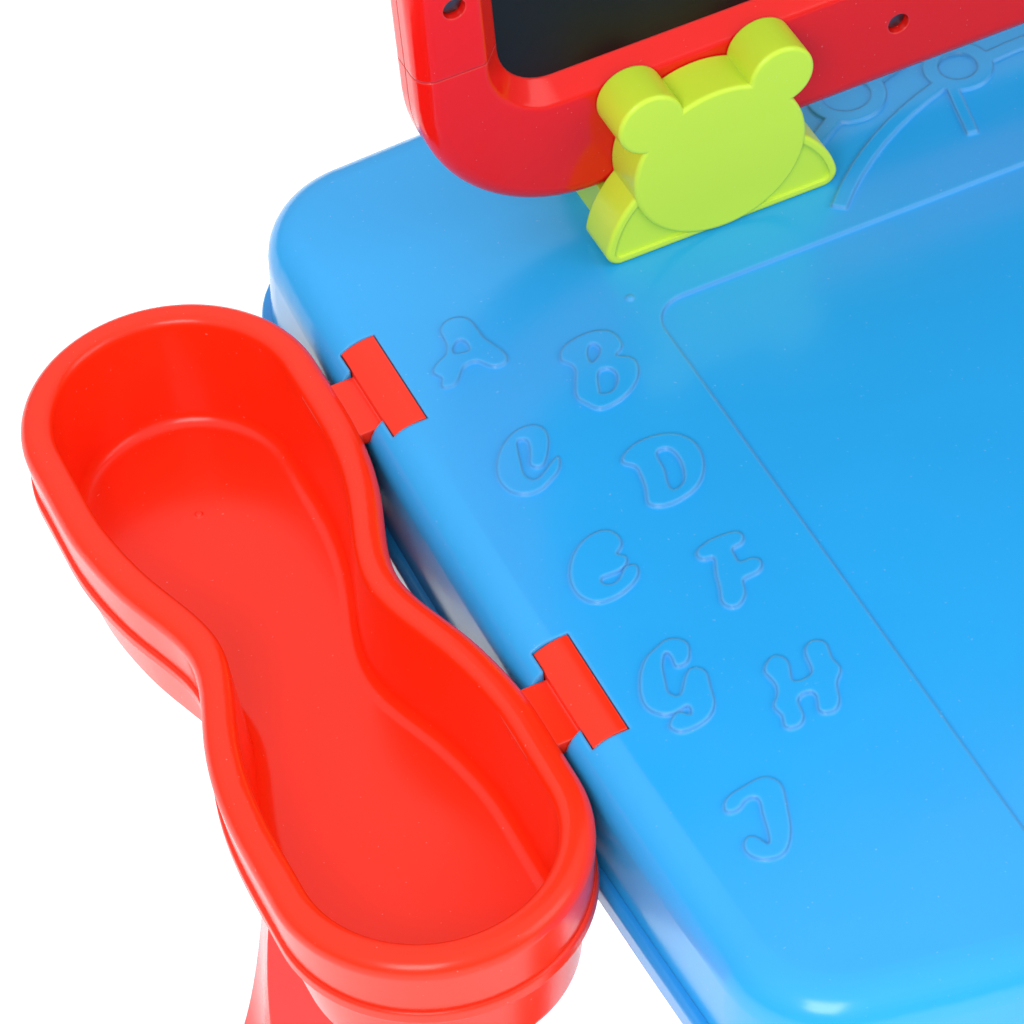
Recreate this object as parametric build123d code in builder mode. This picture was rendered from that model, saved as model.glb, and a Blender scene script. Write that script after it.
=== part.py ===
"""Children's activity desk with two lift-off side trays and a lift-out drawing board.

Millimetres, +Z up, +Y towards the back. The origin is on the floor under the middle
of the desk. Each named body is written to parts/ as one STEP file.
"""
import os
from math import atan2, cos, degrees, radians, sin, tan

from build123d import *

os.makedirs("parts", exist_ok=True)

# Desk shell
DESK_HEIGHT = 430.0  # floor to the desk top
HALF_WIDTH = 287.5  # desk-top outline at the corners, before the shoulder is rounded
SIDE_BOW = 6.0  # how far each side bulges outwards
BACK_Y = 220.5  # back corners of the outline
BACK_BOW = 8.0
FRONT_Y = -188.0  # front corners of the outline
FRONT_BOW = 35.0
CORNER_R = 38.0
SHOULDER_R = 14.5
WALL_HEIGHT = 40.0
WALL_DRAFT = 3.5  # degrees, the wall leans outwards going down
WALL = 3.0
LIP_PROUD = 3.7
LIP_HEIGHT = 9.3
TUB_INSET = 12.0  # lower tub measured in from the desk wall's foot
TUB_DEPTH = 25.7
RELIEF = 1.2  # height of raised letters and depth of the work recess

# Work recess
RECESS_WIDTH = 375.0
RECESS_BACK_Y = 98.5
RECESS_DEPTH_Y = 268.0
RECESS_R = 12.0

# Screws
SHANK_R = 1.6
HEAD_R = 3.4
HEAD_H = 2.2
POST_R = 5.0
HOLE_CLEARANCE = 0.25
POST_SPOTS = [(x, y) for x in (-180.0, 0.0, 180.0) for y in (-120.0, 165.0)]

# Legs
LEG_X = 232.0  # middle of a leg's top
LEG_Y = 165.0
LEG_MIRROR_Y = 12.0  # front legs mirror the back legs about this line
LEG_TOP_W = 66.0
LEG_GROW_W = 38.0  # extra width at the foot
LEG_TOP_D = 52.0
LEG_GROW_D = 10.0
LEG_BOW_X = 72.0  # outward bow of a leg's middle line
LEG_BOW_RATE = 112.0  # degrees of the bow's sine over the leg
LEG_PEAK = 12.0  # how far the front and back of a leg come to a ridge
LEG_BEAD_W = 20.0
LEG_BEAD_H = 4.0
LEG_CANT = 13.0  # back of a leg narrower than its front at the top
LEG_KICK = 27.0  # and wider at the foot
LEG_KICK_POWER = 12
LEG_CORNER_R = 6.0
LEG_BEAD_R = 1.8
LEG_WALL = 3.0
LEG_HEAD = 4.0
LEG_STEPS = 4
PAD_H = 4.0
PAD_PLUG = 8.0
PAD_GAP = 0.8

# Side trays
TRAY_OUT = 59.2  # middle of a tray out from the desk-top outline
TRAY_X = HALF_WIDTH + TRAY_OUT
TRAY_Y = 33.5
TRAY_LOBE_R = 52.5
TRAY_LOBE_Y = 104.0  # lobe centres either side of the waist
TRAY_WAIST = 74.6
# Points of the outline between lobe and waist: across, along, and its tilt in degrees
TRAY_SHOULDERS = ((51.6, 60.0, 7.0), (46.3, 34.0, 16.0))
TRAY_DROP = 3.0  # rim below the desk top
TRAY_RIM_W = 11.5
TRAY_RIM_R = 5.5  # outer rounding of the rim
TRAY_MOUTH_R = 3.5  # inner rounding of the rim
TRAY_FLOOR_R = 5.0
TRAY_BOSS_R = 4.5
TRAY_BOSS_H = 7.0
TRAY_SHELL_LEAN = 6.0
TRAY_SHELL_STEP = 4.7
TRAY_SKIRT_H = 23.0
TRAY_SKIRT_LEAN = 2.2  # how far the skirt draws in towards its foot
TRAY_POCKET = 46.0
TRAY_DRAFT = 4.0
TRAY_WALL = 2.5
TRAY_LIP_PROUD = 1.2
TRAY_LIP_H = 5.5

# Tray hooks, one T-shaped bar on a stem at each side of the tray's waist
HOOK_Y = 76.5
BAR_LENGTH = 44.0
BAR_WIDTH = 12.0
BAR_DROP = 3.0  # fall of the bar's top across its width
BAR_DEPTH = 14.5
BAR_SET = 12.5  # inner edge of the bar in from the desk-top outline
BAR_EDGE_X = HALF_WIDTH - BAR_SET
STEM_WIDTH = 26.0
STEM_TOP = 6.0  # stem's upper face below the desk top
STEM_THICK = 5.0
STEM_RUN = 17.5  # stems run this far out from the desk-top outline, into the tray rim
STEM_REACH = HALF_WIDTH + STEM_RUN
TONGUE_W = 5.0
TONGUE_H = 6.0
HOOK_CLEARANCE = 0.5
NOTCH_RISE = 20.0

# Board clips
CLIP_X = 147.7
CLIP_FRONT_Y = 121.5
CLIP_PLATE = 17.0
CLIP_HALF_BASE = 44.5
CLIP_BASE_RISE = 38.5
HEAD_HALF_W = 32.3
HEAD_HALF_H = 30.5
EAR_R = 12.0
EAR_X = 24.3
EAR_Z = 57.5
CLIP_RIM = 3.0
CLIP_RECESS = 1.0
CLIP_CORNER_R = 5.5
CLIP_EDGE_R = 1.5
HEAD_PROUD = 1.0
HEAD_RISE = 0.4
REAR_RISE = 31.5  # rear cheek above the board's lower edge
CLIP_SCREW_STEPS = (-20.0, 20.0)
CLIP_SCREW_LENGTH = 12.0
SADDLE_HALF_W = 37.0
BOARD_LIFT = 18.5  # board's lower edge above the desk top

# Drawing board
BOARD_CLEARANCE = 0.5
BOARD_THICK = 24.0
BOARD_WIDTH = 490.0
BOARD_HEIGHT = 395.5
BOARD_R = 60.0
RAIL_SIDE = 24.0
RAIL_BOTTOM = 45.5
RAIL_TOP = 30.0
RAIL_SKIN = 4.0
RAIL_WALL = 6.0
RAIL_COLLAR = 2.5
BEVEL_IN = 7.0
BEVEL_DEPTH = 8.0
FACE_INNER_R = 25.0
EDGE_R = 7.0
INNER_EDGE_R = 3.0
SPLIT_Z = 74.0  # joint between lower and upper frames, above the board's lower edge
SPLIT_GAP = 0.4
PANEL_THICK = 4.0
PANEL_LAP = 4.0  # how far a panel runs in behind the bevel
PANEL_CLEARANCE = 0.5
BOARD_HOLE_R = 4.0
BOARD_HOLE_DEPTH = 5.0

TOP_Z = DESK_HEIGHT
SHELL_FOOT_Z = TOP_Z - WALL_HEIGHT
SPREAD = WALL_HEIGHT * tan(radians(WALL_DRAFT))
LIP_FOOT_Z = SHELL_FOOT_Z - LIP_HEIGHT
TUB_FOOT_Z = LIP_FOOT_Z - TUB_DEPTH
CENTRE_Y = (BACK_Y + FRONT_Y) / 2
RIM_Z = TOP_Z - TRAY_DROP
SKIRT_Z = RIM_Z - TRAY_SKIRT_H
POCKET_Z = RIM_Z - TRAY_POCKET
TRAY_LEAN = TRAY_POCKET * tan(radians(TRAY_DRAFT))
TRAY_FOOT_Z = POCKET_Z - TRAY_WALL - TRAY_BOSS_H - TRAY_WALL
BOARD_FRONT_Y = CLIP_FRONT_Y + CLIP_PLATE + BOARD_CLEARANCE
BOARD_BACK_Y = BOARD_FRONT_Y + BOARD_THICK
BOARD_MID_Y = BOARD_FRONT_Y + BOARD_THICK / 2
CLIP_REAR_Y = BOARD_BACK_Y + BOARD_CLEARANCE
BOARD_FOOT_Z = TOP_Z + BOARD_LIFT
RING_THICK = (BOARD_THICK - SPLIT_GAP) / 2
BOARD_SCREW_SPOTS = [
    (side * x, BOARD_FOOT_Z + z)
    for side in (-1, 1)
    for x, z in ((70.0, 25.5), (230.0, 101.5), (230.0, 295.5), (70.0, BOARD_HEIGHT - 15.0))
]
SADDLE_FRONT_Y = CLIP_FRONT_Y + CLIP_PLATE
SADDLE_BACK_Y = CLIP_REAR_Y + 12.0
CLIP_CENTRE_Y = (CLIP_FRONT_Y + SADDLE_BACK_Y) / 2
CLIP_SCREW_SPOTS = [
    (side * CLIP_X + step, y)
    for side in (-1, 1)
    for step in CLIP_SCREW_STEPS
    for y in (CLIP_FRONT_Y + CLIP_PLATE / 2, BOARD_MID_Y)
]
LEG_SCREW_SPOTS = [
    (side * (LEG_X + step), y)
    for side in (-1, 1)
    for step in (-17.0, 17.0)
    for y in (LEG_Y, 2 * LEG_MIRROR_Y - LEG_Y)
]


def desk_outline(grow=0.0):
    """Bowed desk outline as a face in the current sketch, grown by a distance."""
    half = HALF_WIDTH + grow
    back = BACK_Y + grow
    front = FRONT_Y - grow
    with BuildLine() as border:
        ThreePointArc((-half, back), (0, back + BACK_BOW), (half, back))
        ThreePointArc((half, back), (half + SIDE_BOW, CENTRE_Y), (half, front))
        ThreePointArc((half, front), (0, front - FRONT_BOW), (-half, front))
        ThreePointArc((-half, front), (-half - SIDE_BOW, CENTRE_Y), (-half, back))
    make_face(border.edges())
    fillet(vertices(), CORNER_R + grow)


def desk_block(foot_z, foot_grow, top_z, top_grow):
    """Solid between two desk outlines in the current part."""
    with BuildSketch(Plane.XY.offset(foot_z)) as foot:
        desk_outline(foot_grow)
    with BuildSketch(Plane.XY.offset(top_z)) as top:
        desk_outline(top_grow)
    loft([foot.sketch, top.sketch], ruled=True)


def from_spot(spot, points):
    """Points of a drawing carried to the spot of its lower left corner."""
    return [(spot[0] + x, spot[1] + y) for x, y in points]


def pen_stroke(points):
    """Round-pen stroke along a smooth curve, from a chain of short slots."""
    with BuildLine() as path:
        Spline(*points)
    stations = [path.line @ (step / PEN_STEPS) for step in range(PEN_STEPS + 1)]
    for start, end in zip(stations, stations[1:]):
        step = end - start
        middle = (start + end) / 2
        with Locations((middle.X, middle.Y)):
            SlotCenterToCenter(step.length, PEN, rotation=degrees(atan2(step.Y, step.X)))


def hook_shape(side, hook_y, grow=0.0, rise=0.0, mode=Mode.ADD):
    """T-shaped tray hook in the current part, or its notch when grown and raised."""
    inner = BAR_EDGE_X - grow
    outer = BAR_EDGE_X + BAR_WIDTH + grow
    head = TOP_Z + rise
    foot = TOP_Z - BAR_DEPTH
    tongue_x = side * (BAR_EDGE_X + TONGUE_W + grow)
    tongue_z = foot - TONGUE_H - grow
    with BuildSketch(Plane.XZ.offset(BAR_LENGTH / 2 + grow - hook_y)) as bar:
        with BuildLine() as border:
            crown = ThreePointArc(
                (side * inner, head),
                (side * (inner + 0.6 * BAR_WIDTH), head - 0.3 * BAR_DROP),
                (side * outer, head - BAR_DROP),
            )
            Polyline(
                crown @ 1,
                (side * outer, foot),
                (tongue_x, foot),
                (tongue_x, tongue_z),
                (side * inner, tongue_z),
                crown @ 0,
            )
        make_face(border.edges())
    extrude(bar.sketch, amount=-(BAR_LENGTH + 2 * grow), mode=mode)
    with Locations((side * (outer + STEM_REACH) / 2, hook_y, TOP_Z - STEM_TOP + rise)):
        Box(
            STEM_REACH - outer + 2.0,
            STEM_WIDTH + 2 * grow,
            STEM_THICK + grow + rise,
            align=(Align.CENTER, Align.CENTER, Align.MAX),
            mode=mode,
        )


def save(solid, name):
    """Label a finished piece and write it to its own file."""
    solid.label = name
    export_step(solid, f"parts/{name}.step")


# Raised letters: each outline is a closed smooth curve in millimetres from the
# letter's own lower left corner, with its counters as further closed curves.
LETTER_OUTLINES = {
    "A": [
        [(12, 27.5), (16, 29), (20, 27.5), (22, 16), (25, 6), (24.5, 2), (21, 0.8), (18, 3), (15.5, 6.5),
         (10.5, 6.3), (7, 2.5), (3, 0), (0.3, 1), (1.8, 5), (0.5, 8), (2.5, 11.5), (7, 14), (10, 20)],
        [(11.3, 12.6), (15.5, 12.6), (14.3, 18.5)],
    ],
    "B": [
        [(3, 27.5), (6, 32), (12, 34), (19, 33.7), (23, 31), (24, 26.5), (22.5, 22), (19.8, 20),
         (22.8, 17.5), (24, 12), (21, 6.5), (15, 2), (8, 0), (4, 0.7), (2, 4), (0.4, 7),
         (2.5, 15), (4.6, 24)],
        [(11.8, 20.8), (14.5, 22.5), (16.6, 26.5), (15.3, 29), (13.3, 28)],
        [(7.2, 6.5), (10, 14), (12.5, 16.5), (15.5, 15.3), (16, 11), (13, 6.6), (9.5, 5.4)],
    ],
    "C": [
        [(21.5, 10.5), (19.5, 6), (14, 2), (8, 0), (2.5, 2.5), (0.2, 8), (1.5, 15.5), (5.5, 22),
         (11, 26.7), (17, 28.4), (21.5, 26.7), (22.6, 22.5), (21, 17.5), (18, 12.5), (14, 9.6),
         (12.2, 11), (13.4, 15), (15.2, 19.5), (15.3, 23.2), (13.6, 24), (11, 20), (9, 13),
         (8.4, 7.3), (10.2, 5), (14, 6.3), (19, 9.8)],
    ],
    "D": [
        [(4, 28), (9, 29.8), (15, 29.8), (21, 27.5), (24.5, 23), (25.3, 17), (22.8, 9), (17.5, 3), (11, 0.4),
         (3, 0.8), (0.4, 3), (1.6, 8), (3.6, 16.5), (3.4, 21), (1, 24)],
        [(10.3, 4.8), (14, 6.3), (17, 12), (17.9, 18), (16, 23), (13.4, 23.3), (11.4, 16), (9.4, 8)],
    ],
    "E": [
        [(17, 28.3), (21, 26.5), (22.3, 22.5), (20.6, 18.5), (18.4, 16.4), (20.4, 14.4), (19.4, 11.5),
         (17, 10), (13, 9.7), (9.4, 9.3), (9, 7.4), (11, 5.6), (15, 7), (19.6, 10.3), (21.6, 9.4), (21, 6),
         (17, 2.5), (10, 0.2), (3.6, 1.3), (0.4, 6), (0.4, 12.5), (4, 20.4), (10, 26.2)],
    ],
    "F": [
        [(3.5, 28), (8, 29.4), (14, 29.4), (18, 28), (18.2, 25.4), (16.2, 23.5), (13, 22.8), (12.2, 19.5),
         (12.4, 16.4), (16, 16.2), (18.4, 14.2), (17, 10.8), (13, 9.8), (10.2, 9.4), (8.5, 5.5), (5.4, 1.2),
         (2.4, 0.2), (0.2, 2.2), (1.5, 8.6), (4, 16.6), (5.4, 22.6), (2.8, 23.2), (1.8, 25.2)],
    ],
    "G": [
        [(15.5, 35.8), (20.8, 35.2), (22.8, 32.2), (21.8, 28.2), (18.3, 24.7), (15.8, 25), (16, 28.5),
         (15.4, 31.6), (12.8, 29), (9.8, 21), (8.9, 16), (10.6, 13.8), (13.4, 15.8), (16.4, 20),
         (19.4, 22), (22.2, 20), (21.4, 13), (19.4, 6), (15.4, 1.6), (9.8, 0), (4.4, 1), (3.1, 3.6),
         (4.9, 6.4), (8.4, 7.4), (10.8, 5.2), (11.8, 8.6), (8, 8.2), (3, 9.6), (0.4, 13.6), (1.2, 21),
         (4.8, 28), (10, 33.4)],
    ],
    "H": [
        [(7, 28), (11.4, 29), (13, 25.5), (11.2, 17), (16.6, 17), (19.6, 26), (23, 29.2), (26.4, 27.6),
         (25.8, 19.5), (26.2, 15.2), (22.6, 10.6), (20, 4), (16, 0.6), (12.8, 2), (14.4, 8.6), (14, 10.6),
         (9.4, 10.6), (7.2, 3.4), (3.4, 0.4), (0.4, 1.8), (1.4, 6.2), (1, 11), (3.8, 14.6), (5.4, 21.4)],
    ],
    "J": [
        [(1.6, 23.4), (4, 27.2), (10, 28.8), (18.6, 28.8), (20.8, 25.8), (19.6, 18.6), (17, 10.6),
         (13.4, 3.6), (9, 0), (4, 0.6), (0.6, 4), (0.4, 8.4), (3, 10.8), (5.6, 8.6), (7, 5.4), (9.4, 10),
         (11.4, 18), (12, 23.4), (10, 24.2), (6, 22.2), (3, 21.8)],
    ],
}
LETTER_SPOTS = {
    "A": (-265.0, 96.5),
    "B": (-227.5, 62.5),
    "C": (-266.0, 39.0),
    "D": (-228.0, 13.0),
    "E": (-265.0, -15.0),
    "F": (-226.0, -37.0),
    "G": (-266.5, -75.2),
    "H": (-232.5, -90.5),
    "J": (-265.0, -132.5),
}

# Raised numerals: centre-line strokes on an 18 x 28 cell, swept by a round pen.
PEN = 6.0
PEN_STEPS = 9
NUMERAL_CURVES = {
    "1": [[(5, 21), (10, 26), (7.5, 13), (5, 2)]],
    "2": [[(4, 20), (8, 26), (14, 25), (14.5, 18), (8, 9), (3, 3), (9, 3.5), (14, 2.5)]],
    "3": [
        [(5, 24), (11, 26.5), (15, 22), (13, 17), (9, 15.5)],
        [(9, 15.5), (14, 13), (13, 6), (8, 2), (3, 4.5)],
    ],
    "4": [[(8, 26), (5.5, 18), (4, 11), (10, 11.5), (16, 12.5)], [(14, 20), (12.5, 12), (10, 2)]],
    "5": [[(15, 26), (10, 25.5), (7, 25), (5.5, 16), (10, 16.5), (14, 12.5), (12.5, 5), (7, 2), (3, 4)]],
    "6": [[(14, 26), (8, 21), (4, 12), (5, 4), (10, 2), (14, 6.5), (13, 12), (8, 13)]],
    "7": [[(4, 24.5), (9, 25.5), (16, 26), (13, 18), (9, 10), (7, 2)]],
    "8": [[(9.5, 15), (5.5, 20), (9, 26), (14, 23.5), (13, 18), (9.5, 15)],
          [(9.5, 15), (4.5, 11), (4, 5), (8.5, 2), (13, 5), (13.5, 11), (9.5, 15)]],
    "9": [[(14, 17), (9, 14.5), (5, 18), (6.5, 24), (12, 26), (15, 21.5), (13.5, 12), (10, 5), (5, 2)]],
}
NUMERAL_SPOTS = {
    "1": (247.0, 98.0),
    "2": (209.0, 66.0),
    "3": (246.0, 39.0),
    "4": (208.0, 14.0),
    "5": (246.0, -15.0),
    "6": (208.0, -37.0),
    "7": (246.0, -71.0),
    "8": (208.0, -90.0),
    "9": (246.0, -131.0),
}

# Music motif by the board: two concentric staff bands and two ringed notes a side
STAFF_X = 13.0
STAFF_Y = 22.5
STAFF_R = 130.0
STAFF_PITCH = 19.0
BAND = 5.5
STEM_BAND = 4.0
GATE_X = -191.4
GATE_Y = 105.5
GATE_R = 1.6
GATE_H = 0.7
NOTES = [(-81.0, 159.0, 11.5), (-40.0, 152.5, 9.7), (66.0, 156.0, 10.5)]

# ---------------------------------------------------------------- desk top shell
with BuildPart() as desk_cavity:
    desk_block(SHELL_FOOT_Z, SPREAD - WALL, TOP_Z - WALL, -WALL)
    fillet(faces().sort_by(Axis.Z)[-1].edges(), SHOULDER_R - WALL)

with BuildPart() as desk_top:
    desk_block(SHELL_FOOT_Z, SPREAD, TOP_Z, 0.0)
    fillet(faces().sort_by(Axis.Z)[-1].edges(), SHOULDER_R)
    add(desk_cavity.part, mode=Mode.SUBTRACT)
    with BuildSketch(Plane.XY.offset(TOP_Z)):
        with Locations((0, RECESS_BACK_Y - RECESS_DEPTH_Y / 2)):
            RectangleRounded(RECESS_WIDTH, RECESS_DEPTH_Y, RECESS_R)
    extrude(amount=-RELIEF, mode=Mode.SUBTRACT)
    # Screw posts reach down to the floor of the tub
    with BuildSketch(Plane.XY.offset(TUB_FOOT_Z + WALL)):
        with Locations(*POST_SPOTS):
            Circle(POST_R)
    extrude(amount=TOP_Z - WALL - TUB_FOOT_Z - WALL + 1.0)
    with BuildSketch(Plane.XY.offset(TUB_FOOT_Z + WALL)):
        with Locations(*POST_SPOTS):
            Circle(SHANK_R + HOLE_CLEARANCE)
    extrude(amount=18.0, mode=Mode.SUBTRACT)
    # Blocks that carry the tray hooks
    for side in (-1, 1):
        for hook_y in (TRAY_Y - HOOK_Y, TRAY_Y + HOOK_Y):
            with Locations((side * (BAR_EDGE_X - 1.0), hook_y, TOP_Z - WALL)):
                Box(
                    2 * BAR_WIDTH - 6.0,
                    BAR_LENGTH + 10.0,
                    BAR_DEPTH + TONGUE_H,
                    align=(Align.CENTER, Align.CENTER, Align.MAX),
                )
    # Raised letters and numerals
    for name, curves in LETTER_OUTLINES.items():
        with BuildSketch(Plane.XY.offset(TOP_Z)):
            for curve in curves:
                with BuildLine():
                    Spline(*from_spot(LETTER_SPOTS[name], curve), periodic=True)
                make_face(mode=Mode.ADD if curve is curves[0] else Mode.SUBTRACT)
        extrude(amount=RELIEF)
    for name, curves in NUMERAL_CURVES.items():
        for curve in curves:
            with BuildSketch(Plane.XY.offset(TOP_Z)):
                pen_stroke(from_spot(NUMERAL_SPOTS[name], curve))
            extrude(amount=RELIEF)
    # Staff bands and notes
    with BuildSketch(Plane.XY.offset(TOP_Z)):
        for radius in (STAFF_R, STAFF_R + STAFF_PITCH):
            with BuildLine():
                CenterArc((-STAFF_X, STAFF_Y), radius, 42.0, 96.0)
            trace(line_width=BAND)
        for note_x, note_y, radius in NOTES:
            with Locations((note_x, note_y)):
                Circle(radius + BAND / 2)
    extrude(amount=RELIEF)
    with BuildSketch(Plane.XY.offset(TOP_Z)):
        for note_x, note_y, radius in NOTES:
            with Locations((note_x, note_y)):
                Circle(radius - BAND / 2)
    extrude(amount=RELIEF, mode=Mode.SUBTRACT)
    with BuildSketch(Plane.XY.offset(TOP_Z)):
        for note_x, note_y, radius in NOTES[1:]:
            with BuildLine():
                Line((note_x - 7.0, note_y - radius + 1.0), (note_x - 12.0, note_y - radius - 23.0))
            trace(line_width=STEM_BAND)
    extrude(amount=RELIEF)
    # The relief stops short of the board clips
    with BuildSketch(Plane.XY.offset(TOP_Z)):
        with Locations((-CLIP_X, CLIP_CENTRE_Y), (CLIP_X, CLIP_CENTRE_Y)):
            Rectangle(2 * CLIP_HALF_BASE + RELIEF, SADDLE_BACK_Y - CLIP_FRONT_Y + 2 * RELIEF)
    extrude(amount=RELIEF, mode=Mode.SUBTRACT)
    with BuildSketch(Plane.XY.offset(TOP_Z)):
        with Locations(*CLIP_SCREW_SPOTS):
            Circle(SHANK_R + HOLE_CLEARANCE)
    extrude(amount=-WALL, mode=Mode.SUBTRACT)
    # Moulding gate by the recess corner
    with Locations((GATE_X, GATE_Y, TOP_Z)):
        Cone(GATE_R, GATE_R * 0.6, GATE_H, align=(Align.CENTER, Align.CENTER, Align.MIN))
    # T-shaped notches for the tray hooks
    for side in (-1, 1):
        for hook_y in (TRAY_Y - HOOK_Y, TRAY_Y + HOOK_Y):
            hook_shape(side, hook_y, HOOK_CLEARANCE, NOTCH_RISE, Mode.SUBTRACT)
save(desk_top.part, "desk_top")

# ---------------------------------------------------------------- lower shell
with BuildPart() as base_cavity:
    desk_block(TUB_FOOT_Z + WALL, SPREAD - TUB_INSET - 2 * WALL, LIP_FOOT_Z, SPREAD - TUB_INSET - WALL)
    desk_block(LIP_FOOT_Z, SPREAD - TUB_INSET - WALL, SHELL_FOOT_Z, SPREAD - 2 * WALL)

with BuildPart() as desk_base:
    desk_block(TUB_FOOT_Z, SPREAD - TUB_INSET - WALL, LIP_FOOT_Z, SPREAD - TUB_INSET)
    desk_block(LIP_FOOT_Z, SPREAD + LIP_PROUD, SHELL_FOOT_Z, SPREAD + LIP_PROUD)
    fillet(faces().sort_by(Axis.Z)[-1].edges(), LIP_PROUD * 0.6)
    add(base_cavity.part, mode=Mode.SUBTRACT)
    with BuildSketch(Plane.XY.offset(TUB_FOOT_Z)):
        with Locations(*POST_SPOTS):
            Circle(SHANK_R + HOLE_CLEARANCE)
        with Locations(*LEG_SCREW_SPOTS):
            Circle(SHANK_R + HOLE_CLEARANCE)
    extrude(amount=WALL, mode=Mode.SUBTRACT)
save(desk_base.part, "desk_base")

with BuildPart() as desk_screws:
    with BuildSketch(Plane.XY.offset(TUB_FOOT_Z)):
        with Locations(*POST_SPOTS):
            Circle(HEAD_R)
    extrude(amount=-HEAD_H)
    fillet(faces().filter_by(Axis.Z).group_by(Axis.Z)[0].edges(), 0.8)
    with BuildSketch(Plane.XY.offset(TUB_FOOT_Z - HEAD_H / 2)):
        with Locations(*POST_SPOTS):
            Circle(SHANK_R)
    extrude(amount=14.0)
save(desk_screws.part, "desk_screws")


# ---------------------------------------------------------------- legs
def leg_section(z, shrink=0.0):
    """Rounded plan section of the back left leg at a height, from its taper law."""
    drop = (TUB_FOOT_Z - z) / (TUB_FOOT_Z - PAD_H)
    half_w = (LEG_TOP_W + LEG_GROW_W * drop) / 2 - shrink
    half_d = (LEG_TOP_D + LEG_GROW_D * drop) / 2 - shrink
    half_back = half_w - LEG_CANT + LEG_KICK * drop**LEG_KICK_POWER
    bead = LEG_BEAD_W / 2 - shrink
    x = -LEG_X - LEG_BOW_X * sin(radians(LEG_BOW_RATE * drop))
    with BuildSketch(Plane((x, LEG_Y, z))) as section:
        with BuildLine() as border:
            Polyline(
                (-half_back, half_d - LEG_PEAK),
                (-bead - LEG_BEAD_H, half_d - LEG_BEAD_H),
                (-bead, half_d),
                (bead, half_d),
                (bead + LEG_BEAD_H, half_d - LEG_BEAD_H),
                (half_back, half_d - LEG_PEAK),
                (half_w, LEG_PEAK - half_d),
                (bead + LEG_BEAD_H, LEG_BEAD_H - half_d),
                (bead, -half_d),
                (-bead, -half_d),
                (-bead - LEG_BEAD_H, LEG_BEAD_H - half_d),
                (-half_w, LEG_PEAK - half_d),
                close=True,
            )
        make_face(border.edges())
        corners = vertices()
        near = [corner for corner in corners if abs(corner.X) < bead + 2 * LEG_BEAD_H]
        far = [corner for corner in corners if abs(corner.X) > bead + 2 * LEG_BEAD_H]
        fillet(near, LEG_BEAD_R)
        fillet(far, LEG_CORNER_R - shrink)
    return section.sketch


def leg_body(foot_z, head_z, shrink=0.0, mode=Mode.ADD):
    """Smooth leg body between two heights in the current part."""
    rise = (head_z - foot_z) / LEG_STEPS
    loft([leg_section(foot_z + rise * step, shrink) for step in range(LEG_STEPS + 1)], mode=mode)


def to_front(solid):
    """Front twin of a back leg piece, added to the current part."""
    mirror(solid, about=Plane.XZ.offset(-LEG_MIRROR_Y))


with BuildPart() as leg_back_left:
    leg_body(PAD_H, TUB_FOOT_Z)
    leg_body(PAD_H, TUB_FOOT_Z - LEG_HEAD, LEG_WALL, Mode.SUBTRACT)
    with BuildSketch(Plane.XY.offset(TUB_FOOT_Z)):
        with Locations(*LEG_SCREW_SPOTS):
            Circle(SHANK_R + HOLE_CLEARANCE)
    extrude(amount=-LEG_HEAD, mode=Mode.SUBTRACT)
save(leg_back_left.part, "leg_back_left")

with BuildPart() as leg_back_right:
    mirror(leg_back_left.part, about=Plane.YZ)
save(leg_back_right.part, "leg_back_right")

with BuildPart() as leg_front_left:
    to_front(leg_back_left.part)
save(leg_front_left.part, "leg_front_left")

with BuildPart() as leg_front_right:
    to_front(leg_back_right.part)
save(leg_front_right.part, "leg_front_right")

with BuildPart() as foot_pad:
    extrude(leg_section(PAD_H), amount=-PAD_H)
    extrude(leg_section(PAD_H + PAD_PLUG, LEG_WALL + PAD_GAP), amount=-PAD_PLUG - PAD_H / 2)

with BuildPart() as foot_pads:
    add(foot_pad.part)
    mirror(foot_pad.part, about=Plane.YZ)
    to_front(foot_pads.part)
save(foot_pads.part, "foot_pads")

with BuildPart() as leg_screws:
    with BuildSketch(Plane.XY.offset(TUB_FOOT_Z + WALL)):
        with Locations(*LEG_SCREW_SPOTS):
            Circle(HEAD_R)
    extrude(amount=HEAD_H)
    with BuildSketch(Plane.XY.offset(TUB_FOOT_Z + WALL)):
        with Locations(*LEG_SCREW_SPOTS):
            Circle(SHANK_R)
    extrude(amount=-12.0)
save(leg_screws.part, "leg_screws")


# ---------------------------------------------------------------- side trays
def peanut(side, z, inset=0.0):
    """Two-lobed tray outline at a height, moved inwards by an inset."""
    lobe = TRAY_LOBE_R - inset
    waist = TRAY_WAIST / 2 - inset
    end_y = TRAY_LOBE_Y + lobe
    flank = [
        (across - inset * cos(radians(tilt)), along + inset * sin(radians(tilt)))
        for across, along, tilt in TRAY_SHOULDERS
    ]
    back_half = [(lobe, TRAY_LOBE_Y), *flank, (waist, 0)]
    front_half = [(x, -y) for x, y in reversed(back_half[:-1])]
    right = back_half + front_half
    left = [(-x, y) for x, y in right]
    with BuildSketch(Plane((side * TRAY_X, TRAY_Y, z))) as section:
        with BuildLine() as border:
            Spline(*right, tangents=[(0, -1), (0, -1)])
            ThreePointArc(right[-1], (0, -end_y), left[-1])
            Spline(*reversed(left), tangents=[(0, 1), (0, 1)])
            ThreePointArc(left[0], (0, end_y), right[0])
        make_face(border.edges())
    return section.sketch


def between(side, low, high, mode=Mode.ADD):
    """Tray solid between two outlines, each a height and an inset, in the current part."""
    loft([peanut(side, *low), peanut(side, *high)], ruled=True, mode=mode)


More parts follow.
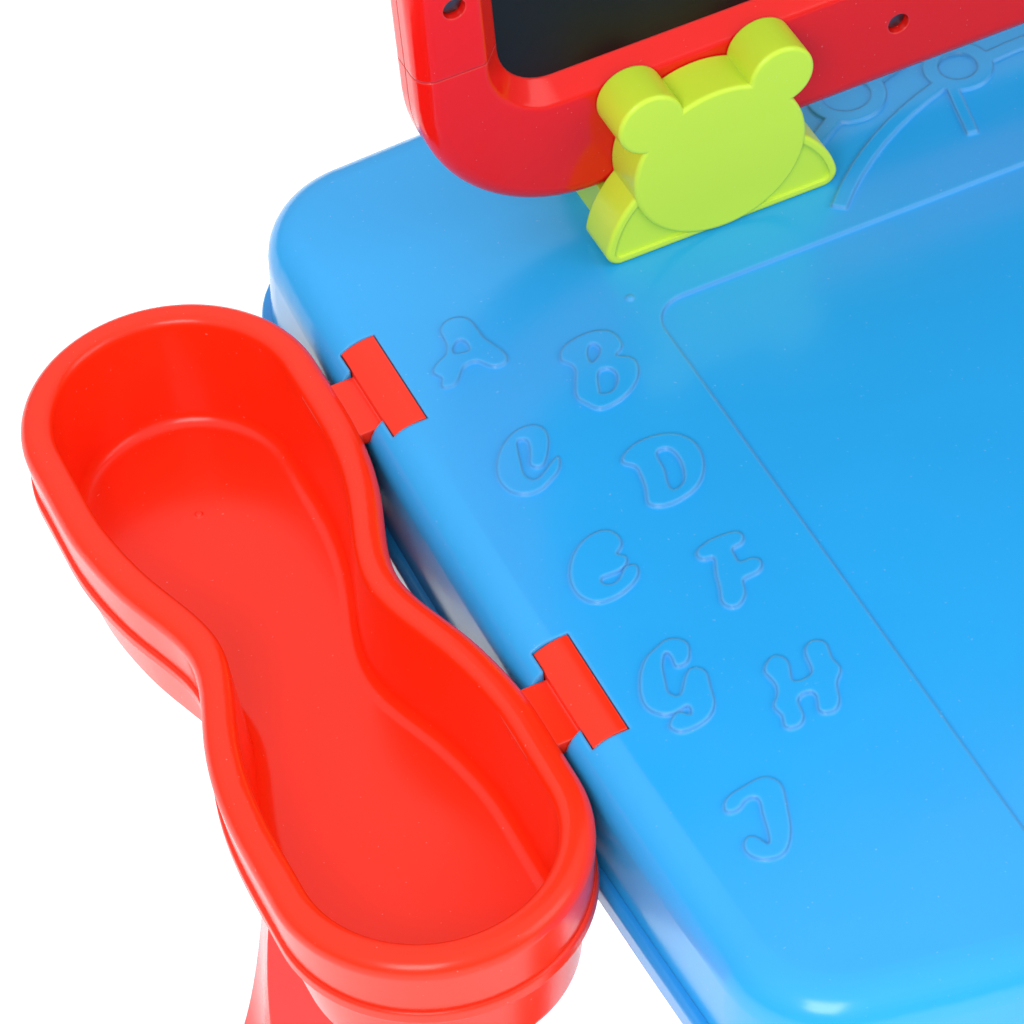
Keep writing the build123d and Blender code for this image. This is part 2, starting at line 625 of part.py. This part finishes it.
def tray_liner(side):
    """Tray with its rolled rim and pocket, in the current part."""
    between(side, (SKIRT_Z, TRAY_SKIRT_LEAN), (RIM_Z, 0.0))
    fillet(faces().sort_by(Axis.Z)[-1].edges(), TRAY_RIM_R)
    skirt_foot = (SKIRT_Z, TRAY_SKIRT_LEAN + TRAY_WALL)
    between(side, skirt_foot, (RIM_Z - TRAY_RIM_R, TRAY_WALL), Mode.SUBTRACT)
    tub = TRAY_RIM_W - TRAY_WALL
    between(side, (POCKET_Z - TRAY_WALL, tub + TRAY_LEAN), (RIM_Z - TRAY_RIM_R / 2, tub))
    between(side, (POCKET_Z, TRAY_RIM_W + TRAY_LEAN), (RIM_Z, TRAY_RIM_W), Mode.SUBTRACT)
    fillet(faces().sort_by(Axis.Z)[-1].inner_wires()[0].edges(), TRAY_MOUTH_R)
    second_level = faces(Select.ALL).filter_by(Axis.Z).group_by(Axis.Z)[1]
    fillet(second_level.sort_by(SortBy.AREA)[-1].edges(), TRAY_FLOOR_R)


for side, name in ((-1, "tray_left"), (1, "tray_right")):
    boss_spots = [(side * TRAY_X, TRAY_Y + step * TRAY_LOBE_Y) for step in (-1, 0, 1)]
    with BuildPart() as liner:
        tray_liner(side)
        for hook_y in (TRAY_Y - HOOK_Y, TRAY_Y + HOOK_Y):
            hook_shape(side, hook_y)
        with BuildSketch(Plane.XY.offset(POCKET_Z - TRAY_WALL)):
            with Locations(*boss_spots):
                Circle(TRAY_BOSS_R)
        extrude(amount=-TRAY_BOSS_H)
        with BuildSketch(Plane.XY.offset(POCKET_Z - TRAY_WALL)):
            with Locations(*boss_spots):
                Circle(SHANK_R + HOLE_CLEARANCE)
        extrude(amount=-TRAY_BOSS_H, mode=Mode.SUBTRACT)
        with Locations((side * TRAY_X, TRAY_Y + TRAY_LOBE_Y - 8.0, POCKET_Z)):
            Cone(GATE_R, GATE_R * 0.6, GATE_H, align=(Align.CENTER, Align.CENTER, Align.MIN))
    save(liner.part, f"{name}_liner")

    with BuildPart() as shell:
        extrude(peanut(side, SKIRT_Z, TRAY_SKIRT_LEAN - TRAY_LIP_PROUD), amount=-TRAY_LIP_H)
        fillet(faces().filter_by(Axis.Z).edges(), 1.2)
        low = TRAY_WALL + TRAY_SHELL_LEAN
        between(side, (TRAY_FOOT_Z, low), (SKIRT_Z - TRAY_LIP_H, TRAY_SHELL_STEP))
        fillet(faces().sort_by(Axis.Z)[0].edges(), 4.0)
        hollow_foot = (TRAY_FOOT_Z + TRAY_WALL, low + TRAY_WALL)
        between(side, hollow_foot, (SKIRT_Z, TRAY_SHELL_STEP + TRAY_WALL), Mode.SUBTRACT)
        with BuildSketch(Plane.XY.offset(TRAY_FOOT_Z)):
            with Locations(*boss_spots):
                Circle(SHANK_R + HOLE_CLEARANCE)
        extrude(amount=TRAY_WALL, mode=Mode.SUBTRACT)
    save(shell.part, f"{name}_shell")

    with BuildPart() as screws:
        with BuildSketch(Plane.XY.offset(TRAY_FOOT_Z)):
            with Locations(*boss_spots):
                Circle(HEAD_R)
        extrude(amount=-HEAD_H)
        with BuildSketch(Plane.XY.offset(TRAY_FOOT_Z)):
            with Locations(*boss_spots):
                Circle(SHANK_R)
        extrude(amount=TRAY_WALL + TRAY_BOSS_H - 1.0)
    save(screws.part, f"{name}_screws")


# ---------------------------------------------------------------- board clips
def upright(x, y, z):
    """Vertical sketch plane facing the front, local y pointing up."""
    return Plane(origin=(x, y, z), x_dir=(1, 0, 0), z_dir=(0, -1, 0))


def clip_wing(x, inset):
    """Half-oval wing outline behind a clip's head, moved inwards by an inset."""
    half_w = CLIP_HALF_BASE - inset
    rise = CLIP_BASE_RISE - inset
    with BuildSketch(upright(x, CLIP_FRONT_Y, TOP_Z)) as wing:
        Ellipse(half_w, rise)
        with Locations((0, inset)):
            Rectangle(2 * half_w, rise, align=(Align.CENTER, Align.MIN), mode=Mode.INTERSECT)
        fillet(vertices().group_by(Axis.Y)[0], CLIP_CORNER_R - inset)
    return wing.sketch


def clip_disc(outline):
    """Thick disc of a clip with a rounded front edge, from its front outline."""
    with BuildPart() as disc:
        extrude(outline, amount=-CLIP_PLATE - HEAD_PROUD)
        fillet(faces().sort_by(Axis.Y)[0].edges(), CLIP_EDGE_R)
    return disc.part


def clip_head(x):
    """Bear's head and two ears as three discs."""
    with BuildSketch(upright(x, CLIP_FRONT_Y - HEAD_PROUD, TOP_Z + HEAD_HALF_H + HEAD_RISE)) as face:
        Ellipse(HEAD_HALF_W, HEAD_HALF_H)
    discs = [clip_disc(face.sketch)]
    for ear_x in (x - EAR_X, x + EAR_X):
        with BuildSketch(upright(ear_x, CLIP_FRONT_Y - HEAD_PROUD, TOP_Z + EAR_Z)) as ear:
            Circle(EAR_R)
        discs.append(clip_disc(ear.sketch))
    return discs


for side, name in ((-1, "clip_left"), (1, "clip_right")):
    x = side * CLIP_X
    with BuildPart() as bear:
        extrude(clip_wing(x, 0.0), amount=-CLIP_PLATE)
        fillet(faces().sort_by(Axis.Y)[0].edges(), CLIP_EDGE_R)
        extrude(clip_wing(x, CLIP_RIM), amount=-CLIP_RECESS, mode=Mode.SUBTRACT)
        add(clip_head(x))
        with BuildSketch(Plane.XY.offset(TOP_Z)):
            with Locations(*[(x + step, CLIP_FRONT_Y + CLIP_PLATE / 2) for step in CLIP_SCREW_STEPS]):
                Circle(SHANK_R + HOLE_CLEARANCE)
        extrude(amount=CLIP_SCREW_LENGTH, mode=Mode.SUBTRACT)
    save(bear.part, f"{name}_front")

    with BuildPart() as saddle:
        with BuildSketch(Plane.XY.offset(TOP_Z)):
            with Locations((x, (SADDLE_FRONT_Y + SADDLE_BACK_Y) / 2)):
                Rectangle(2 * SADDLE_HALF_W, SADDLE_BACK_Y - SADDLE_FRONT_Y)
        extrude(amount=BOARD_LIFT)
        with BuildSketch(upright(x, CLIP_REAR_Y, TOP_Z)):
            with Locations((0, BOARD_LIFT)):
                SlotOverall(2 * SADDLE_HALF_W, 2 * REAR_RISE)
            Rectangle(
                2 * SADDLE_HALF_W,
                BOARD_LIFT + REAR_RISE,
                align=(Align.CENTER, Align.MIN),
                mode=Mode.INTERSECT,
            )
            Rectangle(2 * SADDLE_HALF_W, BOARD_LIFT, align=(Align.CENTER, Align.MIN))
        extrude(amount=CLIP_REAR_Y - SADDLE_BACK_Y)
        with BuildSketch(Plane.XY.offset(TOP_Z)):
            with Locations((x, (SADDLE_FRONT_Y + SADDLE_BACK_Y) / 2)):
                Rectangle(2 * (SADDLE_HALF_W - WALL), SADDLE_BACK_Y - SADDLE_FRONT_Y - 2 * WALL)
        extrude(amount=BOARD_LIFT - WALL, mode=Mode.SUBTRACT)
        with BuildSketch(Plane.XY.offset(TOP_Z)):
            with Locations(*[(x + step, BOARD_MID_Y) for step in CLIP_SCREW_STEPS]):
                Circle(POST_R)
        extrude(amount=BOARD_LIFT - WALL)
        with BuildSketch(Plane.XY.offset(TOP_Z)):
            with Locations(*[(x + step, BOARD_MID_Y) for step in CLIP_SCREW_STEPS]):
                Circle(SHANK_R + HOLE_CLEARANCE)
        extrude(amount=CLIP_SCREW_LENGTH, mode=Mode.SUBTRACT)
    save(saddle.part, f"{name}_back")

with BuildPart() as clip_screws:
    with BuildSketch(Plane.XY.offset(TOP_Z - WALL)):
        with Locations(*CLIP_SCREW_SPOTS):
            Circle(HEAD_R)
    extrude(amount=-HEAD_H)
    with BuildSketch(Plane.XY.offset(TOP_Z - WALL)):
        with Locations(*CLIP_SCREW_SPOTS):
            Circle(SHANK_R)
    extrude(amount=WALL + CLIP_SCREW_LENGTH - 1.0)
save(clip_screws.part, "clip_screws")


# ---------------------------------------------------------------- drawing board
def board_opening(y, inset, radius):
    """Rounded window of the board frame at a depth, moved inwards by an inset."""
    width = BOARD_WIDTH - 2 * (RAIL_SIDE + inset)
    height = BOARD_HEIGHT - RAIL_BOTTOM - RAIL_TOP - 2 * inset
    centre_z = BOARD_FOOT_Z + RAIL_BOTTOM + (BOARD_HEIGHT - RAIL_BOTTOM - RAIL_TOP) / 2
    with BuildSketch(upright(0, y, centre_z)) as window:
        RectangleRounded(width, height, radius)
    return window.sketch


with BuildPart() as frame_ring:
    with BuildSketch(upright(0, BOARD_FRONT_Y, BOARD_FOOT_Z + BOARD_HEIGHT / 2)):
        RectangleRounded(BOARD_WIDTH, BOARD_HEIGHT, BOARD_R)
    extrude(amount=-RING_THICK)
    fillet(faces().sort_by(Axis.Y)[0].edges(), EDGE_R)
    # Hollow of the moulded rail, open towards the middle of the board
    with BuildSketch(upright(0, BOARD_FRONT_Y + RAIL_SKIN, BOARD_FOOT_Z + BOARD_HEIGHT / 2)):
        RectangleRounded(BOARD_WIDTH - 2 * RAIL_WALL, BOARD_HEIGHT - 2 * RAIL_WALL, BOARD_R - RAIL_WALL)
    extrude(amount=RAIL_SKIN - RING_THICK, mode=Mode.SUBTRACT)
    collar = BEVEL_IN - PANEL_LAP - RAIL_COLLAR
    collar_face = board_opening(BOARD_FRONT_Y + RAIL_SKIN, collar, FACE_INNER_R - collar)
    extrude(collar_face, amount=RAIL_SKIN - RING_THICK)
    window = board_opening(BOARD_FRONT_Y, 0.0, FACE_INNER_R)
    bevel = board_opening(BOARD_FRONT_Y + BEVEL_DEPTH, BEVEL_IN, FACE_INNER_R - BEVEL_IN)
    loft([window, bevel], ruled=True, mode=Mode.SUBTRACT)
    seat = BEVEL_IN - PANEL_LAP
    extrude(
        board_opening(BOARD_FRONT_Y + BEVEL_DEPTH, seat, FACE_INNER_R - seat),
        amount=BEVEL_DEPTH - RING_THICK,
        mode=Mode.SUBTRACT,
    )
    fillet(faces().sort_by(Axis.Y)[0].inner_wires()[0].edges(), INNER_EDGE_R)
    for hole_x, hole_z in BOARD_SCREW_SPOTS:
        with BuildSketch(upright(hole_x, BOARD_FRONT_Y + RAIL_SKIN, hole_z)):
            Circle(BOARD_HOLE_R + 2.0)
        extrude(amount=RAIL_SKIN - RING_THICK)

with BuildPart() as frame_front:
    add(frame_ring.part)
    for hole_x, hole_z in BOARD_SCREW_SPOTS:
        with BuildSketch(upright(hole_x, BOARD_FRONT_Y, hole_z)):
            Circle(BOARD_HOLE_R)
        extrude(amount=-BOARD_HOLE_DEPTH, mode=Mode.SUBTRACT)
        with BuildSketch(upright(hole_x, BOARD_FRONT_Y, hole_z)):
            Circle(SHANK_R + HOLE_CLEARANCE)
        extrude(amount=-RING_THICK, mode=Mode.SUBTRACT)

with BuildPart() as frame_back:
    mirror(frame_ring.part, about=Plane.XZ.offset(-BOARD_MID_Y))
    for hole_x, hole_z in BOARD_SCREW_SPOTS:
        with BuildSketch(upright(hole_x, BOARD_MID_Y, hole_z)):
            Circle(SHANK_R + HOLE_CLEARANCE)
        extrude(amount=-BOARD_THICK / 2 + WALL, mode=Mode.SUBTRACT)

seam_z = BOARD_FOOT_Z + SPLIT_Z
for half, name in ((frame_front, "front"), (frame_back, "back")):
    with BuildPart() as lower:
        add(half.part)
        split(bisect_by=Plane.XY.offset(seam_z - SPLIT_GAP / 2), keep=Keep.BOTTOM)
    save(lower.part, f"frame_lower_{name}")
    with BuildPart() as upper:
        add(half.part)
        split(bisect_by=Plane.XY.offset(seam_z + SPLIT_GAP / 2), keep=Keep.TOP)
    save(upper.part, f"frame_upper_{name}")

lap = BEVEL_IN - PANEL_LAP + PANEL_CLEARANCE
with BuildPart() as blackboard_panel:
    extrude(board_opening(BOARD_FRONT_Y + BEVEL_DEPTH, lap, FACE_INNER_R - lap), amount=-PANEL_THICK)
save(blackboard_panel.part, "blackboard_panel")

with BuildPart() as whiteboard_panel:
    mirror(blackboard_panel.part, about=Plane.XZ.offset(-BOARD_MID_Y))
save(whiteboard_panel.part, "whiteboard_panel")

with BuildPart() as board_screws:
    for hole_x, hole_z in BOARD_SCREW_SPOTS:
        with BuildSketch(upright(hole_x, BOARD_FRONT_Y + BOARD_HOLE_DEPTH, hole_z)):
            Circle(HEAD_R)
        extrude(amount=HEAD_H)
        with BuildSketch(upright(hole_x, BOARD_FRONT_Y + BOARD_HOLE_DEPTH, hole_z)):
            Circle(SHANK_R)
        extrude(amount=-14.0)
save(board_screws.part, "board_screws")
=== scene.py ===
"""Looks of the children's activity desk: materials, stage, light and camera."""

import bpy
from mathutils import Matrix, Vector


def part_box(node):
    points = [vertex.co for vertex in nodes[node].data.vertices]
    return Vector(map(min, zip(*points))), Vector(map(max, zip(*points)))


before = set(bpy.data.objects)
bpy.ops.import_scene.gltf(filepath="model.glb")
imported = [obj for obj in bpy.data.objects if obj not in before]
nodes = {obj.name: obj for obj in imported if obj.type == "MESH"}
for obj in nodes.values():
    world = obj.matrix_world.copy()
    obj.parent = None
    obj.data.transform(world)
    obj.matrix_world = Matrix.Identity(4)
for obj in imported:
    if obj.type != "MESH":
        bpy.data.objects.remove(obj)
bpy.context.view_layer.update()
scene = bpy.context.scene
scene.view_settings.view_transform = "Standard"
scene.view_settings.look = "None"


# ---------------------------------------------------------------- camera
CAMERA_PLACE = (-0.6109, -0.9035, 1.4968)
CAMERA_RIGHT = Vector((0.90436, -0.41948, -0.07850))
CAMERA_UP = Vector((0.35653, 0.64155, 0.67919))
LENS_MM = 158.65
SENSOR_MM = 36.0
NEAREST = 0.1
FARTHEST = 50.0


def add_camera():
    """Camera at the desk's left front, looking down on the tray and the letters."""
    data = bpy.data.cameras.new("camera")
    data.lens = LENS_MM
    data.sensor_width = SENSOR_MM
    data.clip_start = NEAREST
    data.clip_end = FARTHEST
    camera = bpy.data.objects.new("camera", data)
    scene.collection.objects.link(camera)
    turn = Matrix((CAMERA_RIGHT, CAMERA_UP, CAMERA_RIGHT.cross(CAMERA_UP))).transposed()
    camera.matrix_world = Matrix.Translation(CAMERA_PLACE) @ turn.to_4x4()
    scene.camera = camera


# ---------------------------------------------------------------- materials
class Nodes:
    """A new material, with short ways to add and link its shader nodes."""

    def __init__(self, name):
        self.material = bpy.data.materials.new(name)
        self.material.use_nodes = True
        self.tree = self.material.node_tree
        self.shader = self.tree.nodes["Principled BSDF"]
        self.coords = self.add("ShaderNodeTexCoord").outputs["Object"]

    def add(self, kind, inputs=None, **attributes):
        """New node; an input is a number, a colour or another node's output."""
        node = self.tree.nodes.new(kind)
        for key, value in attributes.items():
            setattr(node, key, value)
        for key, value in (inputs or {}).items():
            if hasattr(value, "links"):
                self.tree.links.new(value, node.inputs[key])
            else:
                node.inputs[key].default_value = value
        return node

    def link(self, source, socket):
        """Output linked to a socket of the material's own shader."""
        self.tree.links.new(source, self.shader.inputs[socket])

    def fix(self, socket, value):
        """Constant value on a socket of the material's own shader."""
        self.shader.inputs[socket].default_value = value

    def noise(self, scale, detail=2.0, roughness=0.5):
        """Noise over the object, with features about 1 / scale metres across."""
        return self.add(
            "ShaderNodeTexNoise",
            {"Vector": self.coords, "Scale": scale, "Detail": detail, "Roughness": roughness},
        ).outputs["Fac"]

    def ramp(self, value, low, high, to_low, to_high):
        """Value carried from low..high to to_low..to_high, held at the ends."""
        return self.add(
            "ShaderNodeMapRange",
            {
                "Value": value,
                "From Min": low,
                "From Max": high,
                "To Min": to_low,
                "To Max": to_high,
            },
        ).outputs["Result"]

    def mix(self, factor, first, second):
        """Colour between two colours."""
        return self.add("ShaderNodeMix", {0: factor, 6: first, 7: second}, data_type="RGBA").outputs[2]

    def bump(self, height, strength, distance, normal=None):
        """Normal tilted by a height; distance is the height's full size in metres."""
        inputs = {"Height": height, "Strength": strength, "Distance": distance}
        if normal is not None:
            inputs["Normal"] = normal
        return self.add("ShaderNodeBump", inputs).outputs["Normal"]


def shade(color, gain):
    """Colour scaled by a gain, with alpha."""
    return (*(min(1.0, channel * gain) for channel in color), 1.0)


def paled(color, share):
    """Colour moved towards white by a share, with alpha."""
    return (*(share + (1.0 - share) * channel for channel in color), 1.0)


def moulded_plastic(name, color, rough=0.2, grain=0.03, gloss=0.5, soften=0.0010, pale=0.12):
    """Injection-moulded plastic: flow mottling, haze, dust specks, fine grain, soft edges paled partly
    as wear and partly as a painted highlight.
    """
    n = Nodes(name)
    flow = n.ramp(n.noise(6.0, 3.0), 0.3, 0.7, 0.0, 1.0)
    tone = n.mix(flow, shade(color, 0.95), shade(color, 1.03))
    edge = n.add("ShaderNodeBevel", {"Radius": soften}, samples=6).outputs["Normal"]
    face = n.add("ShaderNodeNewGeometry").outputs["Normal"]
    turned = n.add("ShaderNodeVectorMath", {0: edge, 1: face}, operation="DOT_PRODUCT")
    # Edges paled towards white: partly edge wear, partly a painted highlight along the rounded edges.
    wear_and_edge_highlight = n.ramp(turned.outputs["Value"], 0.995, 0.90, 0.0, pale)
    tone = n.mix(wear_and_edge_highlight, tone, paled(color, 0.35))
    specks = n.ramp(n.noise(750.0, 1.0), 0.77, 0.80, 0.0, 0.22)
    tone = n.mix(specks, tone, paled(color, 0.5))
    n.link(tone, "Base Color")
    n.link(n.ramp(n.noise(26.0, 4.0), 0.3, 0.7, rough - 0.03, rough + 0.05), "Roughness")
    ripple = n.bump(n.noise(30.0, 1.0), 0.05, 0.002, edge)
    n.link(n.bump(n.noise(420.0), grain, 0.0004, ripple), "Normal")
    n.fix("Specular IOR Level", gloss)
    return n.material


def chalkboard(name):
    """Smooth dark writing sheet with faint wiping haze."""
    n = Nodes(name)
    smear = n.ramp(n.noise(5.0, 5.0, 0.6), 0.35, 0.75, 0.0, 1.0)
    clean = (0.0050, 0.0045, 0.0040, 1.0)
    hazy = (0.0085, 0.0078, 0.0070, 1.0)
    n.link(n.mix(smear, clean, hazy), "Base Color")
    n.link(n.ramp(n.noise(60.0, 3.0), 0.3, 0.7, 0.42, 0.52), "Roughness")
    n.link(n.bump(n.noise(700.0), 0.06, 0.0002), "Normal")
    n.fix("Specular IOR Level", 0.3)
    return n.material


def dry_wipe(name):
    """Glossy white writing sheet."""
    n = Nodes(name)
    smear = n.ramp(n.noise(6.0, 4.0), 0.35, 0.7, 0.0, 1.0)
    n.link(n.mix(smear, (0.80, 0.81, 0.82, 1.0), (0.86, 0.87, 0.88, 1.0)), "Base Color")
    n.link(n.ramp(n.noise(50.0, 3.0), 0.3, 0.7, 0.14, 0.2), "Roughness")
    return n.material


def foot_rubber(name):
    """Matte dark rubber with a fine grain."""
    n = Nodes(name)
    n.link(n.mix(n.noise(40.0), (0.03, 0.03, 0.032, 1.0), (0.05, 0.05, 0.052, 1.0)), "Base Color")
    n.link(n.bump(n.noise(900.0), 0.3, 0.0004), "Normal")
    n.fix("Roughness", 0.75)
    return n.material


def dark_steel_painted_hole_shade(name):
    """Screw steel, its dark base colour a painted shade standing in for the deep screw holes."""
    n = Nodes(name)
    # Dark base colour: painted shade for screws sitting in deep holes.
    n.link(n.mix(n.noise(200.0), (0.10, 0.09, 0.09, 1.0), (0.18, 0.17, 0.17, 1.0)), "Base Color")
    n.link(n.ramp(n.noise(350.0), 0.3, 0.7, 0.28, 0.42), "Roughness")
    n.fix("Metallic", 1.0)
    return n.material


BLUE = (0.020, 0.375, 0.850)
BASE_BLUE = (0.016, 0.320, 0.780)
TRAY_RED = (0.920, 0.027, 0.005)
FRAME_RED = (0.820, 0.010, 0.007)
LEG_RED = (0.840, 0.018, 0.010)
LIME = (0.620, 0.850, 0.052)

# Keyed by a whole node name, or by the first word of several
materials = {
    "desk_top": moulded_plastic("desk_blue", BLUE, rough=0.19, soften=0.0018, pale=0.18),
    "desk_base": moulded_plastic("base_blue", BASE_BLUE, rough=0.18),
    "tray": moulded_plastic("tray_red", TRAY_RED, rough=0.21, gloss=0.34),
    "frame": moulded_plastic("frame_red", FRAME_RED, rough=0.14, gloss=0.32),
    "leg": moulded_plastic("leg_red", LEG_RED, rough=0.16),
    "clip": moulded_plastic("clip_lime", LIME, rough=0.30, gloss=0.4, soften=0.0008),
    "blackboard": chalkboard("chalkboard"),
    "whiteboard": dry_wipe("dry_wipe"),
    "foot": foot_rubber("foot_rubber"),
    "screws": dark_steel_painted_hole_shade("dark_steel_painted_hole_shade"),
}


def material_for(node):
    """Material of a CAD node, from the words in its name."""
    if node.endswith("screws"):
        return materials["screws"]
    return materials[node if node in materials else node.split("_")[0]]


# ---------------------------------------------------------------- stage and light
FLOOR_HALF = 8.0
FLOOR_GLOW = 0.55
WHITE = (1.0, 1.0, 1.0, 1.0)
KEY_LIGHT = ("key", (-1.5, -1.7, 2.2), 1.2, 34.0)
FILL_LIGHT = ("fill", (1.6, -1.5, 1.9), 1.6, 17.0)
SKY_HORIZON = 0.30
SKY_OVERHEAD = 1.05
SKY_FULL_HEIGHT = 0.75  # upward part of the direction from which the sky is at its brightest


def stage_floor():
    """Large pale floor under the object."""
    mesh = bpy.data.meshes.new("floor")
    corners = [(x * FLOOR_HALF, y * FLOOR_HALF, 0) for x, y in ((-1, -1), (1, -1), (1, 1), (-1, 1))]
    mesh.from_pydata(corners, [], [(0, 1, 2, 3)])
    floor = bpy.data.objects.new("floor", mesh)
    scene.collection.objects.link(floor)
    n = Nodes("floor_white")
    n.link(n.mix(n.noise(0.8), (0.80, 0.80, 0.80, 1.0), (0.84, 0.84, 0.84, 1.0)), "Base Color")
    n.fix("Roughness", 0.9)
    n.fix("Specular IOR Level", 0.0)
    n.fix("Emission Color", WHITE)
    n.fix("Emission Strength", FLOOR_GLOW)
    mesh.materials.append(n.material)


def soft_light(name, place, size, power, aim):
    """Square softbox pointed at a place on the object."""
    data = bpy.data.lights.new(name, "AREA")
    data.shape = "RECTANGLE"
    data.size = size
    data.size_y = size
    data.energy = power
    light = bpy.data.objects.new(name, data)
    scene.collection.objects.link(light)
    light.location = place
    light.rotation_euler = (aim - Vector(place)).to_track_quat("-Z", "Y").to_euler()


def sky_gradient():
    """Soft studio surroundings: dim near the horizon, bright overhead."""
    world = bpy.data.worlds.new("studio")
    world.use_nodes = True
    tree = world.node_tree
    background = tree.nodes["Background"]
    direction = tree.nodes.new("ShaderNodeTexCoord")
    parts = tree.nodes.new("ShaderNodeSeparateXYZ")
    tree.links.new(direction.outputs["Generated"], parts.inputs["Vector"])
    height = tree.nodes.new("ShaderNodeMapRange")
    height.inputs["From Min"].default_value = 0.0
    height.inputs["From Max"].default_value = SKY_FULL_HEIGHT
    height.inputs["To Min"].default_value = SKY_HORIZON
    height.inputs["To Max"].default_value = SKY_OVERHEAD
    tree.links.new(parts.outputs["Z"], height.inputs["Value"])
    tree.links.new(height.outputs["Result"], background.inputs["Strength"])
    background.inputs["Color"].default_value = WHITE
    scene.world = world


add_camera()
for node, shown in nodes.items():
    shown.data.materials.clear()
    shown.data.materials.append(material_for(node))
stage_floor()
aim = Vector((0.0, 0.0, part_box("desk_top")[1].z))
soft_light(*KEY_LIGHT, aim)
soft_light(*FILL_LIGHT, aim)
sky_gradient()
